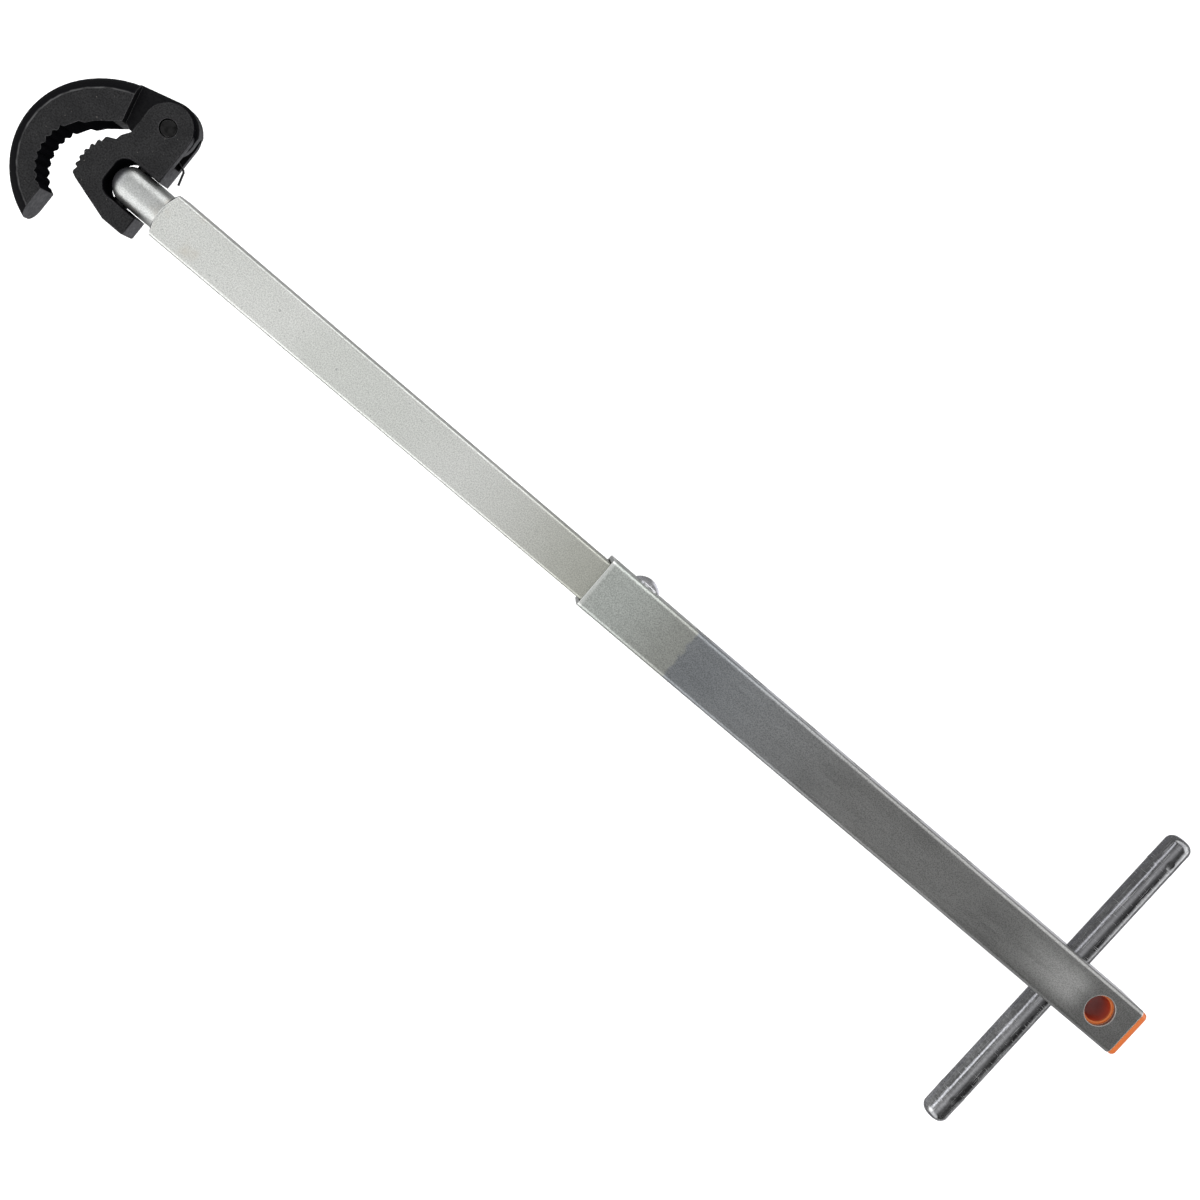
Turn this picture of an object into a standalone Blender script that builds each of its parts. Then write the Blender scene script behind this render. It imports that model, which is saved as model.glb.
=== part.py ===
"""Telescoping basin wrench, lying on its back.

The shank runs along +X from the butt to the head, +Z is the front face and the hook's mouth opens between the
nose of the heel jaw and the hook, on the +Y side of the hook's pivot. The origin is the centre of the end cap's
outer face, on the shank's axis. Lengths are in millimetres until MM turns them into metres.
"""

import math

import bmesh
import bpy
from mathutils import Matrix, Vector

MM = 0.001

# Handle tube: square tube, with round holes through its walls
TUBE_SIDE = 20.0
TUBE_WALL = 1.5
TUBE_CORNER = 1.7
TUBE_INNER_CORNER = 0.6
TUBE_START = 2.7
TUBE_END = 255.1
HANG_HOLE_X = 16.1
HANG_HOLE_RADIUS = 5.78
TEE_X = 30.7
TEE_HOLE_RADIUS = 5.2
DETENT_HOLE_RADIUS = 5.25
DETENT_PITCH = 25.0
DETENT_STOPS = 7

# End cap: a plastic plug whose eye meets the hanging hole
CAP_SIDE = 19.6
CAP_THICK = 2.5
CAP_CORNER = 2.0
CAP_ROUND = 1.1
PLUG_SIDE = 16.5
PLUG_CORNER = 0.6
PLUG_END = 23.5
EYE_RADIUS = 5.0

# Tee bar: round bar with a swaged stop near each tip
TEE_RADIUS = 5.0
TEE_LOW_TIP = -66.1
TEE_HIGH_TIP = 70.6
TEE_TIP_ROUND = 3.4
STOP_FROM_TIP = 13.0
STOP_LENGTH = 5.0
STOP_RADIUS = 5.25
STOP_END_RADIUS = 4.8
STOP_HALF_HEIGHT = 0.55
DENT_DEPTH = 0.2
DENT_RADIUS = 9.0

# Shank: square bar with a turned shoulder and a round spigot
BAR_SIDE = 16.0
BAR_CORNER = 1.15
BAR_START = 227.6
SHOULDER_X = 439.65
SHOULDER_RADIUS = 8.05
SHOULDER_SLOPE = math.radians(31)
SPIGOT_RADIUS = 6.45
SPIGOT_ROOT = 3.0
SWIVEL_X = 453.3

# Detent: button and coil spring in a blind hole in the shank, pushed out towards -Y
BUTTON_X = 239.6
BUTTON_RADIUS = 5.0
BUTTON_TOP = 12.8
BUTTON_DOME = 2.2
FLANGE_RADIUS = 5.75
FLANGE_TOP = 8.3
FLANGE_BOTTOM = 5.2
SPRING_BORE_RADIUS = 3.5
SPRING_BORE_TOP = 8.7
BLIND_HOLE_RADIUS = 5.95
BLIND_HOLE_FLOOR = 4.6
DETENT_WIRE = 0.7
DETENT_COIL_RADIUS = 2.85
DETENT_TURNS = 7
DETENT_TURN_STEPS = 16
DETENT_END_GAP = 0.15

# Heel jaw: fork over the spigot, toothed nose, and two ears for the hook's tang
JAW_HALF = 5.0
JAW_EDGE = 0.45
PIVOT_X = 454.5
PIVOT_Y = -22.1
EAR_RADIUS = 8.25
EAR_TOP = -13.4
EAR_GAP_LOW = -2.9
EAR_GAP_HIGH = 2.5
SWIVEL_HOLE_END = -16.4
FORK_END_X = 445.05
FORK_TOP_Y = 13.85
FORK_SLOPE_X = 453.1
FORK_CORNER = 0.8
SLOT_LOW_Y = -6.75
SLOT_HIGH_Y = 7.05
SLOT_END_X = 460.4
SLOT_CORNER = 4.3
NOSE_TOP = (467.2, 9.45)
NOSE_ROOT = ((464.4, -10.9), (464.8, -8.7))
NOSE_TIPS = (454.1, 1.9, 16.2)
NOSE_VALLEYS = (455.6, 1.9, 14.0)
NOSE_FIRST = math.radians(-33.7)
NOSE_PITCH = math.radians(9.43)
NOSE_TEETH = 7
TOOTH_FLAT = 0.13

# Hook jaw: curved hook with teeth inside, and a thinner tang between the ears
HOOK_HALF = 5.5
HOOK_ROUND = 4.2
HOOK_ROUND_WITHIN = 0.3
HOOK_ARC = (463.0, 3.0, 29.2)
HOOK_BACK_ARC = (457.5, 6.6, 35.8)
HOOK_ARC_JOIN = math.radians(-33.3)
HOOK_TIP_X = 473.3
HOOK_TIP_LOW_Y = 19.2
HOOK_TEETH_CENTRE = (465.7, 6.0)
HOOK_TIP_RADIUS = 15.3
HOOK_VALLEY_RADIUS = 16.1
HOOK_FIRST = math.radians(54.5)
HOOK_PITCH = math.radians(10.4)
HOOK_TEETH = 9
HOOK_INNER = ((477.4, -4.4), (476.9, -5.3), (475.1, -6.1), (473.1, -8.7), (469.1, -12.1))
STEP_TOP = (466.6, -14.2)
STEP_LOW = (469.5, -27.1)
TANG_LOW = -2.6
TANG_HIGH = 2.2
TANG_WEB = -0.1
TANG_TOP = -13.6
TANG_RADIUS = 8.5
TANG_HEEL_RADIUS = 9.2
TANG_RIGHT_X = 464.4
TANG_LOW_SLOPE = math.radians(17)
TANG_LEFT = math.radians(190)
TANG_HEEL_START = math.radians(205)
TANG_ROOT = ((470.1, -27.05), (473.5, -23.1), (469.6, -17.2), (467.1, -14.8))

# Pins, and the torsion spring that closes the hook
SWIVEL_PIN_RADIUS = 2.5
PIVOT_PIN_RADIUS = 3.0
RUNNING_GAP = 0.05
FIXED_GAP = 0.02
PIN_EDGE = 0.35
PIN_RECESS = 0.3
SWIVEL_PIN_START = -12.9
JAW_WIRE = 0.75
JAW_COIL_RADIUS = 3.7
JAW_COIL_TURNS = 2.25
JAW_TURN_STEPS = 20
JAW_COIL_TOP = -0.6
JAW_COIL_PITCH = 0.8
JAW_COIL_OFF = math.radians(69.5)
JAW_COIL_CLEAR = 0.5
JAW_TAIL_TOP = 1.1
JAW_TAIL_CLEAR = 0.2
JAW_TAIL_HOLE_TOP = 1.6
LEG_ROOM_RADIUS = 14.0
LEG_ROOM_START = math.radians(52)
LEG_ROOM_END = math.radians(206)
JAW_LEG = ((446.3, -14.85), (445.3, -14.55), (444.7, -13.9), (444.5, -13.1), (443.5, -9.6))

ROUND_STEPS = 48
ALONG_X = Matrix(((0, 0, 1, 0), (1, 0, 0, 0), (0, 1, 0, 0), (0, 0, 0, 1)))
ALONG_MINUS_Y = Matrix(((1, 0, 0, 0), (0, 0, -1, 0), (0, 1, 0, 0), (0, 0, 0, 1)))


def clear_scene():
    for obj in list(bpy.data.objects):
        bpy.data.objects.remove(obj)


def new_collection(name):
    collection = bpy.data.collections.new(name)
    bpy.context.scene.collection.children.link(collection)
    return collection


def metres(point):
    return Vector(point) * MM


def arc(centre_x, centre_y, radius, start, end, steps):
    """Points along an arc, both ends included."""
    angles = [start + (end - start) * i / steps for i in range(steps + 1)]
    return [(centre_x + radius * math.cos(a), centre_y + radius * math.sin(a)) for a in angles]


def rounded_square(side, corner, steps=4):
    """Outline of a square with round corners, centred on its axis."""
    reach = side / 2 - corner
    points = []
    for quarter in range(4):
        start = quarter * math.pi / 2
        x = reach * (1 if quarter in (0, 3) else -1)
        y = reach * (1 if quarter in (0, 1) else -1)
        points += arc(x, y, corner, start, start + math.pi / 2, steps)
    return points


def mesh_object(name, mesh, collection):
    obj = bpy.data.objects.new(name, mesh)
    collection.objects.link(obj)
    return obj


def bmesh_object(name, bm, collection):
    mesh = bpy.data.meshes.new(name)
    bm.to_mesh(mesh)
    bm.free()
    return mesh_object(name, mesh, collection)


def curve_to_mesh(curve_obj, collection):
    """The closed mesh of a curve object, which it replaces."""
    name = curve_obj.name
    bpy.context.view_layer.update()
    graph = bpy.context.evaluated_depsgraph_get()
    mesh = bpy.data.meshes.new_from_object(curve_obj.evaluated_get(graph))
    matrix = curve_obj.matrix_world.copy()
    bpy.data.objects.remove(curve_obj)
    bm = bmesh.new()
    bm.from_mesh(mesh)
    bmesh.ops.remove_doubles(bm, verts=bm.verts, dist=0.001 * MM)
    bmesh.ops.recalc_face_normals(bm, faces=bm.faces)
    bm.to_mesh(mesh)
    bm.free()
    obj = mesh_object(name, mesh, collection)
    obj.matrix_world = matrix
    return obj


def apply_matrix(obj, matrix):
    """Moves the mesh, while the object's own origin stays where it is."""
    obj.data.transform(matrix)
    return obj


def prism(name, outlines, low, high, collection, turn=None):
    """Flat outlines in the XY plane, filled, drawn out from low to high along Z and turned about the origin."""
    curve = bpy.data.curves.new(name, "CURVE")
    curve.dimensions = "2D"
    curve.fill_mode = "BOTH"
    curve.extrude = (high - low) / 2 * MM
    for outline in outlines:
        spline = curve.splines.new("POLY")
        spline.points.add(len(outline) - 1)
        spline.use_cyclic_u = True
        for point, (x, y) in zip(spline.points, outline):
            point.co = (x * MM, y * MM, 0, 1)
    obj = curve_to_mesh(mesh_object(name, curve, collection), collection)
    bm = bmesh.new()
    bm.from_mesh(obj.data)
    bmesh.ops.dissolve_limit(bm, angle_limit=math.radians(0.5), verts=bm.verts, edges=bm.edges)
    bm.to_mesh(obj.data)
    bm.free()
    shift = Matrix.Translation((0, 0, (high + low) / 2 * MM))
    return apply_matrix(obj, (turn or Matrix.Identity(4)) @ shift)


def box(name, low, high, collection):
    bm = bmesh.new()
    bmesh.ops.create_cube(bm, size=1)
    size = metres(high) - metres(low)
    middle = (metres(high) + metres(low)) / 2
    bm.transform(Matrix.Translation(middle) @ Matrix.Diagonal((*size, 1)))
    return bmesh_object(name, bm, collection)


def cylinder(name, radius, start, end, collection, far_radius=None, steps=ROUND_STEPS):
    """Cylinder or cone between two points, with its first radius at start."""
    along = metres(end) - metres(start)
    bm = bmesh.new()
    bmesh.ops.create_cone(
        bm,
        cap_ends=True,
        segments=steps,
        radius1=radius * MM,
        radius2=(far_radius or radius) * MM,
        depth=along.length,
    )
    turn = Vector((0, 0, 1)).rotation_difference(along).to_matrix().to_4x4()
    bm.transform(Matrix.Translation((metres(start) + metres(end)) / 2) @ turn)
    return bmesh_object(name, bm, collection)


def turned(name, profile, collection, turn, steps=ROUND_STEPS):
    """Profile of (radius, height) pairs, top first, turned about Z and then laid along its real axis."""
    bm = bmesh.new()
    verts = [bm.verts.new((radius * MM, 0, height * MM)) for radius, height in profile]
    for pair in zip(verts, verts[1:]):
        bm.edges.new(pair)
    obj = bmesh_object(name, bm, collection)
    screw = obj.modifiers.new("Screw", "SCREW")
    screw.steps = screw.render_steps = steps
    screw.use_merge_vertices = True
    screw.merge_threshold = 0.00001
    graph = bpy.context.evaluated_depsgraph_get()
    mesh = bpy.data.meshes.new_from_object(obj.evaluated_get(graph))
    bpy.data.objects.remove(obj)
    return apply_matrix(mesh_object(name, mesh, collection), turn)


def wire(name, points, diameter, collection):
    """Round wire along the points, with closed ends."""
    curve = bpy.data.curves.new(name, "CURVE")
    curve.dimensions = "3D"
    curve.bevel_depth = diameter / 2 * MM
    curve.bevel_resolution = 2
    curve.use_fill_caps = True
    spline = curve.splines.new("POLY")
    spline.points.add(len(points) - 1)
    for point, place in zip(spline.points, points):
        point.co = (*metres(place), 1)
    return curve_to_mesh(mesh_object(name, curve, collection), collection)


def boolean(obj, other, operation, cutters):
    """Cuts or joins with another object, which moves to the cutters' collection."""
    for collection in list(other.users_collection):
        collection.objects.unlink(other)
    cutters.objects.link(other)
    other.hide_render = True
    other.display_type = "WIRE"
    modifier = obj.modifiers.new(other.name, "BOOLEAN")
    modifier.operation = operation
    modifier.solver = "EXACT"
    modifier.object = other


def bevel_marked(obj, width, segments, chosen):
    """Rounds the edges for which chosen(start, end) is true."""
    bm = bmesh.new()
    bm.from_mesh(obj.data)
    weight = bm.edges.layers.float.new("bevel_weight_edge")
    for edge in bm.edges:
        start, end = (vert.co / MM for vert in edge.verts)
        edge[weight] = 1.0 if chosen(start, end) else 0.0
    bm.to_mesh(obj.data)
    bm.free()
    modifier = obj.modifiers.new("Bevel", "BEVEL")
    modifier.limit_method = "WEIGHT"
    modifier.width = width * MM
    modifier.segments = segments


def finish(obj, material, origin=(0, 0, 0)):
    """Gives the piece its material, its own origin and smooth round faces."""
    obj.data.transform(Matrix.Translation(-metres(origin)))
    obj.location = metres(origin)
    for modifier in obj.modifiers:
        if modifier.type == "BOOLEAN":
            modifier.object.parent = obj
            modifier.object.matrix_parent_inverse = Matrix.Translation(-metres(origin))
    obj.data.materials.clear()
    obj.data.materials.append(material)
    obj.data.shade_smooth()
    obj.data.set_sharp_from_angle(angle=math.radians(35))
    return obj


def paint(name, colour, roughness, metallic):
    material = bpy.data.materials.new(name)
    material.use_nodes = True
    shader = material.node_tree.nodes["Principled BSDF"]
    shader.inputs["Base Color"].default_value = (*colour, 1)
    shader.inputs["Roughness"].default_value = roughness
    shader.inputs["Metallic"].default_value = metallic
    material.diffuse_color = (*colour, 1)
    return material


def make_outer_tube(parts, cutters):
    inside = rounded_square(TUBE_SIDE - 2 * TUBE_WALL, TUBE_INNER_CORNER)
    outside = rounded_square(TUBE_SIDE, TUBE_CORNER)
    tube = prism("outer_tube", [outside, inside], TUBE_START, TUBE_END, parts, ALONG_X)
    reach = TUBE_SIDE
    low, high = (HANG_HOLE_X, 0, -reach), (HANG_HOLE_X, 0, reach)
    boolean(tube, cylinder("cut_hang_hole", HANG_HOLE_RADIUS, low, high, cutters), "DIFFERENCE", cutters)
    low, high = (TEE_X, -reach, 0), (TEE_X, reach, 0)
    boolean(tube, cylinder("cut_tee_hole", TEE_HOLE_RADIUS, low, high, cutters), "DIFFERENCE", cutters)
    for stop in range(DETENT_STOPS):
        x = BUTTON_X - stop * DETENT_PITCH
        hole = cylinder(f"cut_detent_{stop + 1}", DETENT_HOLE_RADIUS, (x, -reach, 0), (x, 0, 0), cutters)
        boolean(tube, hole, "DIFFERENCE", cutters)
    return finish(tube, paint("tube_steel", (0.36, 0.37, 0.355), 0.38, 0.9))


def make_end_plug(parts, cutters):
    cap = prism("end_plug", [rounded_square(CAP_SIDE, CAP_CORNER)], 0, CAP_THICK, parts, ALONG_X)
    bevel_marked(cap, CAP_ROUND, 3, lambda a, b: a.x < 0.01 and b.x < 0.01)
    plug_start = CAP_THICK / 2
    plug = prism("join_plug", [rounded_square(PLUG_SIDE, PLUG_CORNER)], plug_start, PLUG_END, cutters, ALONG_X)
    boolean(cap, plug, "UNION", cutters)
    low, high = (HANG_HOLE_X, 0, -TUBE_SIDE), (HANG_HOLE_X, 0, TUBE_SIDE)
    boolean(cap, cylinder("cut_eye", EYE_RADIUS, low, high, cutters), "DIFFERENCE", cutters)
    return finish(cap, paint("plug_plastic", (0.72, 0.2, 0.05), 0.42, 0.0))


def make_tee_bar(parts, cutters):
    tip = TEE_TIP_ROUND
    high_end = arc(TEE_RADIUS - tip, TEE_HIGH_TIP - tip, tip, math.pi / 2, 0, 5)
    low_end = arc(TEE_RADIUS - tip, TEE_LOW_TIP + tip, tip, 0, -math.pi / 2, 5)
    profile = [(0, TEE_HIGH_TIP), *high_end, *low_end, (0, TEE_LOW_TIP)]
    along_y = Matrix(((0, 1, 0, 0), (0, 0, 1, 0), (1, 0, 0, 0), (0, 0, 0, 1)))
    bar = turned("tee_bar", profile, parts, Matrix.Translation((TEE_X * MM, 0, 0)) @ along_y)
    for label, tip_y, outward in (("low", TEE_LOW_TIP, -1), ("high", TEE_HIGH_TIP, 1)):
        step_y = tip_y - outward * STOP_FROM_TIP
        far_y = step_y + outward * STOP_LENGTH
        ear = cylinder(
            f"join_stop_{label}",
            STOP_RADIUS,
            (TEE_X, step_y, 0),
            (TEE_X, far_y, 0),
            cutters,
            far_radius=STOP_END_RADIUS,
        )
        apply_matrix(ear, Matrix.Diagonal((1, 1, STOP_HALF_HEIGHT, 1)))
        boolean(bar, ear, "UNION", cutters)
        for side in (-1, 1):
            y = (step_y + far_y) / 2
            z = side * (TEE_RADIUS - DENT_DEPTH + DENT_RADIUS)
            across = TEE_RADIUS * 2
            start, end = (TEE_X - across, y, z), (TEE_X + across, y, z)
            dent = cylinder(f"cut_dent_{label}_{side + 1}", DENT_RADIUS, start, end, cutters)
            boolean(bar, dent, "DIFFERENCE", cutters)
    return finish(bar, paint("tee_steel", (0.42, 0.42, 0.43), 0.2, 1.0), (TEE_X, 0, 0))


def make_shank_bar(parts, cutters):
    square = rounded_square(BAR_SIDE, BAR_CORNER)
    bar = prism("shank_bar", [square], BAR_START, SHOULDER_X, parts, ALONG_X)
    cone_length = 3.0
    cone_radius = SHOULDER_RADIUS + cone_length / math.tan(SHOULDER_SLOPE)
    envelope = [
        (0, SHOULDER_X + 1),
        (SHOULDER_RADIUS - 1 / math.tan(SHOULDER_SLOPE), SHOULDER_X + 1),
        (cone_radius, SHOULDER_X - cone_length),
        (cone_radius, BAR_START - 1),
        (0, BAR_START - 1),
    ]
    boolean(bar, turned("trim_shoulder", envelope, cutters, ALONG_X), "INTERSECT", cutters)
    ball = arc(0, SWIVEL_X, SPIGOT_RADIUS, math.pi / 2, 0, 10)[1:]
    root_x = SHOULDER_X - SPIGOT_ROOT
    spigot = [(0, SWIVEL_X + SPIGOT_RADIUS), *ball, (SPIGOT_RADIUS, root_x), (0, root_x)]
    boolean(bar, turned("join_spigot", spigot, cutters, ALONG_X), "UNION", cutters)
    low, high = (SWIVEL_X, -BAR_SIDE, 0), (SWIVEL_X, BAR_SIDE, 0)
    hole = cylinder("cut_swivel", SWIVEL_PIN_RADIUS + RUNNING_GAP, low, high, cutters)
    boolean(bar, hole, "DIFFERENCE", cutters)
    low, high = (BUTTON_X, -BAR_SIDE, 0), (BUTTON_X, BLIND_HOLE_FLOOR, 0)
    boolean(bar, cylinder("cut_blind_hole", BLIND_HOLE_RADIUS, low, high, cutters), "DIFFERENCE", cutters)
    return finish(bar, paint("bar_zinc", (0.56, 0.56, 0.55), 0.4, 0.9))


def make_detent_button(parts):
    radius = (BUTTON_RADIUS**2 + BUTTON_DOME**2) / (2 * BUTTON_DOME)
    reach = math.asin(BUTTON_RADIUS / radius)
    dome = arc(0, BUTTON_TOP - radius, radius, math.pi / 2, math.pi / 2 - reach, 6)[1:]
    profile = [
        (0, BUTTON_TOP),
        *dome,
        (BUTTON_RADIUS, FLANGE_TOP),
        (FLANGE_RADIUS, FLANGE_TOP),
        (FLANGE_RADIUS, FLANGE_BOTTOM),
        (SPRING_BORE_RADIUS, FLANGE_BOTTOM),
        (SPRING_BORE_RADIUS, SPRING_BORE_TOP),
        (0, SPRING_BORE_TOP),
    ]
    button = turned("detent_button", profile, parts, Matrix.Translation((BUTTON_X * MM, 0, 0)) @ ALONG_MINUS_Y)
    return finish(button, paint("button_steel", (0.62, 0.62, 0.62), 0.16, 1.0), (BUTTON_X, 0, 0))


def make_detent_spring(parts):
    start_y = -(SPRING_BORE_TOP - DETENT_WIRE / 2 - DETENT_END_GAP)
    end_y = BLIND_HOLE_FLOOR - DETENT_WIRE / 2 - DETENT_END_GAP
    count = DETENT_TURN_STEPS * DETENT_TURNS
    points = []
    for i in range(count + 1):
        angle = 2 * math.pi * DETENT_TURNS * i / count
        x = BUTTON_X + DETENT_COIL_RADIUS * math.cos(angle)
        z = DETENT_COIL_RADIUS * math.sin(angle)
        points.append((x, start_y + (end_y - start_y) * i / count, z))
    spring = wire("detent_spring", points, DETENT_WIRE, parts)
    return finish(spring, paint("detent_spring_steel", (0.3, 0.3, 0.3), 0.35, 1.0), (BUTTON_X, 0, 0))


def tooth_points(tips, valleys, first, pitch, count):
    """Teeth along an arc, each a valley and a blunt tip. tips and valleys are (centre x, centre y, radius)."""
    points = []
    for i in range(count):
        middle = first + pitch * i
        for circle, angle in (
            (valleys, middle - pitch / 2),
            (tips, middle - pitch * TOOTH_FLAT),
            (tips, middle + pitch * TOOTH_FLAT),
        ):
            x, y, radius = circle
            points.append((x + radius * math.cos(angle), y + radius * math.sin(angle)))
    return points


def make_heel_jaw(parts, cutters):
    corner_x, low_y, high_y = SLOT_END_X - SLOT_CORNER, SLOT_LOW_Y + SLOT_CORNER, SLOT_HIGH_Y - SLOT_CORNER
    ear_left, ear_right = PIVOT_X - EAR_RADIUS, PIVOT_X + EAR_RADIUS
    teeth = tooth_points(NOSE_TIPS, NOSE_VALLEYS, NOSE_FIRST, NOSE_PITCH, NOSE_TEETH)
    outline = [
        (FORK_END_X, SLOT_HIGH_Y),
        *arc(corner_x, high_y, SLOT_CORNER, math.pi / 2, 0, 6),
        *arc(corner_x, low_y, SLOT_CORNER, 0, -math.pi / 2, 6),
        (ear_left, SLOT_LOW_Y),
        *arc(PIVOT_X, PIVOT_Y, EAR_RADIUS, math.pi, 2 * math.pi, 20),
        (ear_right, EAR_TOP),
        *NOSE_ROOT,
        *teeth[1:],
        NOSE_TOP,
        (FORK_SLOPE_X, FORK_TOP_Y),
        *arc(FORK_END_X + FORK_CORNER, FORK_TOP_Y - FORK_CORNER, FORK_CORNER, math.pi / 2, math.pi, 3),
    ]
    jaw = prism("heel_jaw", [outline], -JAW_HALF, JAW_HALF, parts)
    bevel_marked(jaw, JAW_EDGE, 2, lambda a, b: abs(a.z - b.z) < 0.01 and min(a.x, b.x) < ear_right + 0.01)
    low = (ear_left - EAR_RADIUS, PIVOT_Y - 2 * EAR_RADIUS, EAR_GAP_LOW)
    high = (ear_right + EAR_RADIUS, EAR_TOP, EAR_GAP_HIGH)
    boolean(jaw, box("cut_ear_gap", low, high, cutters), "DIFFERENCE", cutters)
    low, high = (SWIVEL_X, SWIVEL_HOLE_END, 0), (SWIVEL_X, 2 * FORK_TOP_Y, 0)
    swivel = cylinder("cut_swivel_pin", SWIVEL_PIN_RADIUS + FIXED_GAP, low, high, cutters)
    boolean(jaw, swivel, "DIFFERENCE", cutters)
    low, high = (PIVOT_X, PIVOT_Y, -3 * JAW_HALF), (PIVOT_X, PIVOT_Y, 3 * JAW_HALF)
    pivot = cylinder("cut_pivot_pin", PIVOT_PIN_RADIUS + FIXED_GAP, low, high, cutters)
    boolean(jaw, pivot, "DIFFERENCE", cutters)
    return finish(jaw, paint("jaw_black", (0.035, 0.035, 0.036), 0.55, 0.6), (SWIVEL_X, 0, 0))


def hook_outline():
    """Outer arc, tip, teeth, smooth inner edge and the step down to the tang."""
    x, y, radius = HOOK_ARC
    back_x, back_y, back_radius = HOOK_BACK_ARC
    tip_angle = math.acos((HOOK_TIP_X - x) / radius)
    low_angle = math.atan2(STEP_LOW[1] - back_y, STEP_LOW[0] - back_x)
    circle = (*HOOK_TEETH_CENTRE, HOOK_TIP_RADIUS)
    valleys = (*HOOK_TEETH_CENTRE, HOOK_VALLEY_RADIUS)
    teeth = tooth_points(circle, valleys, HOOK_FIRST, -HOOK_PITCH, HOOK_TEETH)
    return [
        *arc(back_x, back_y, back_radius, low_angle, HOOK_ARC_JOIN, 8),
        *arc(x, y, radius, HOOK_ARC_JOIN, tip_angle, 26)[1:],
        (HOOK_TIP_X, HOOK_TIP_LOW_Y),
        *teeth[1:],
        *HOOK_INNER,
        STEP_TOP,
    ]


def tang_outline():
    """Round end about the pivot, flat top that meets the heel jaw, and a root inside the hook."""
    heel_end = math.radians(270) + TANG_LOW_SLOPE
    return [
        (TANG_RIGHT_X, TANG_TOP),
        *arc(PIVOT_X, PIVOT_Y, TANG_RADIUS, math.pi / 2, TANG_LEFT, 12),
        *arc(PIVOT_X, PIVOT_Y, TANG_HEEL_RADIUS, TANG_HEEL_START, heel_end, 10),
        *TANG_ROOT,
    ]


def make_hook_jaw(parts, cutters):
    hook = prism("hook_jaw", [hook_outline()], -HOOK_HALF, HOOK_HALF, parts)
    x, y, radius = HOOK_ARC

    def on_back(point):
        return math.hypot(point.x - x, point.y - y) > radius - HOOK_ROUND_WITHIN

    bevel_marked(hook, HOOK_ROUND, 6, lambda a, b: abs(a.z - b.z) < 0.01 and on_back(a) and on_back(b))
    boolean(hook, prism("join_tang", [tang_outline()], TANG_LOW, TANG_HIGH, cutters), "UNION", cutters)
    low, high = (PIVOT_X, PIVOT_Y, -3 * HOOK_HALF), (PIVOT_X, PIVOT_Y, 3 * HOOK_HALF)
    pin_hole = cylinder("cut_tang_pin", PIVOT_PIN_RADIUS + RUNNING_GAP, low, high, cutters)
    boolean(hook, pin_hole, "DIFFERENCE", cutters)
    coil_room = JAW_COIL_RADIUS + JAW_WIRE / 2 + JAW_COIL_CLEAR
    low, high = (PIVOT_X, PIVOT_Y, -HOOK_HALF), (PIVOT_X, PIVOT_Y, TANG_WEB)
    boolean(hook, cylinder("cut_coil_room", coil_room, low, high, cutters), "DIFFERENCE", cutters)
    sweep = [(PIVOT_X, PIVOT_Y), *arc(PIVOT_X, PIVOT_Y, LEG_ROOM_RADIUS, LEG_ROOM_START, LEG_ROOM_END, 8)]
    leg_room = prism("cut_leg_room", [sweep], -HOOK_HALF, TANG_WEB, cutters)
    boolean(hook, leg_room, "DIFFERENCE", cutters)
    start = JAW_COIL_OFF - 2 * math.pi * JAW_COIL_TURNS
    hole_x = PIVOT_X + JAW_COIL_RADIUS * math.cos(start)
    hole_y = PIVOT_Y + JAW_COIL_RADIUS * math.sin(start)
    low, high = (hole_x, hole_y, TANG_WEB - 1), (hole_x, hole_y, JAW_TAIL_HOLE_TOP)
    tail_hole = cylinder("cut_tail_hole", JAW_WIRE / 2 + JAW_TAIL_CLEAR, low, high, cutters, steps=20)
    boolean(hook, tail_hole, "DIFFERENCE", cutters)
    return finish(hook, paint("hook_black", (0.035, 0.035, 0.036), 0.55, 0.6), (PIVOT_X, PIVOT_Y, 0))


def pin(name, radius, start, end, collection):
    """Round pin with chamfered ends."""
    obj = cylinder(name, radius, start, end, collection)
    along = (Vector(end) - Vector(start)).normalized()
    ends = along.dot(Vector(start)), along.dot(Vector(end))

    def on_rim(a, b):
        return any(abs(along.dot(a) - v) < 0.01 and abs(along.dot(b) - v) < 0.01 for v in ends)

    bevel_marked(obj, PIN_EDGE, 1, on_rim)
    return obj


def make_pins(parts):
    start, end = (SWIVEL_X, SWIVEL_PIN_START, 0), (SWIVEL_X, FORK_TOP_Y - PIN_RECESS, 0)
    swivel = pin("swivel_pin", SWIVEL_PIN_RADIUS, start, end, parts)
    finish(swivel, paint("swivel_pin_steel", (0.09, 0.09, 0.09), 0.4, 0.8), (SWIVEL_X, 0, 0))
    start, end = (PIVOT_X, PIVOT_Y, PIN_RECESS - JAW_HALF), (PIVOT_X, PIVOT_Y, JAW_HALF - PIN_RECESS)
    pivot = pin("pivot_pin", PIVOT_PIN_RADIUS, start, end, parts)
    finish(pivot, paint("pivot_pin_steel", (0.09, 0.09, 0.09), 0.35, 0.8), (PIVOT_X, PIVOT_Y, 0))


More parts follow.
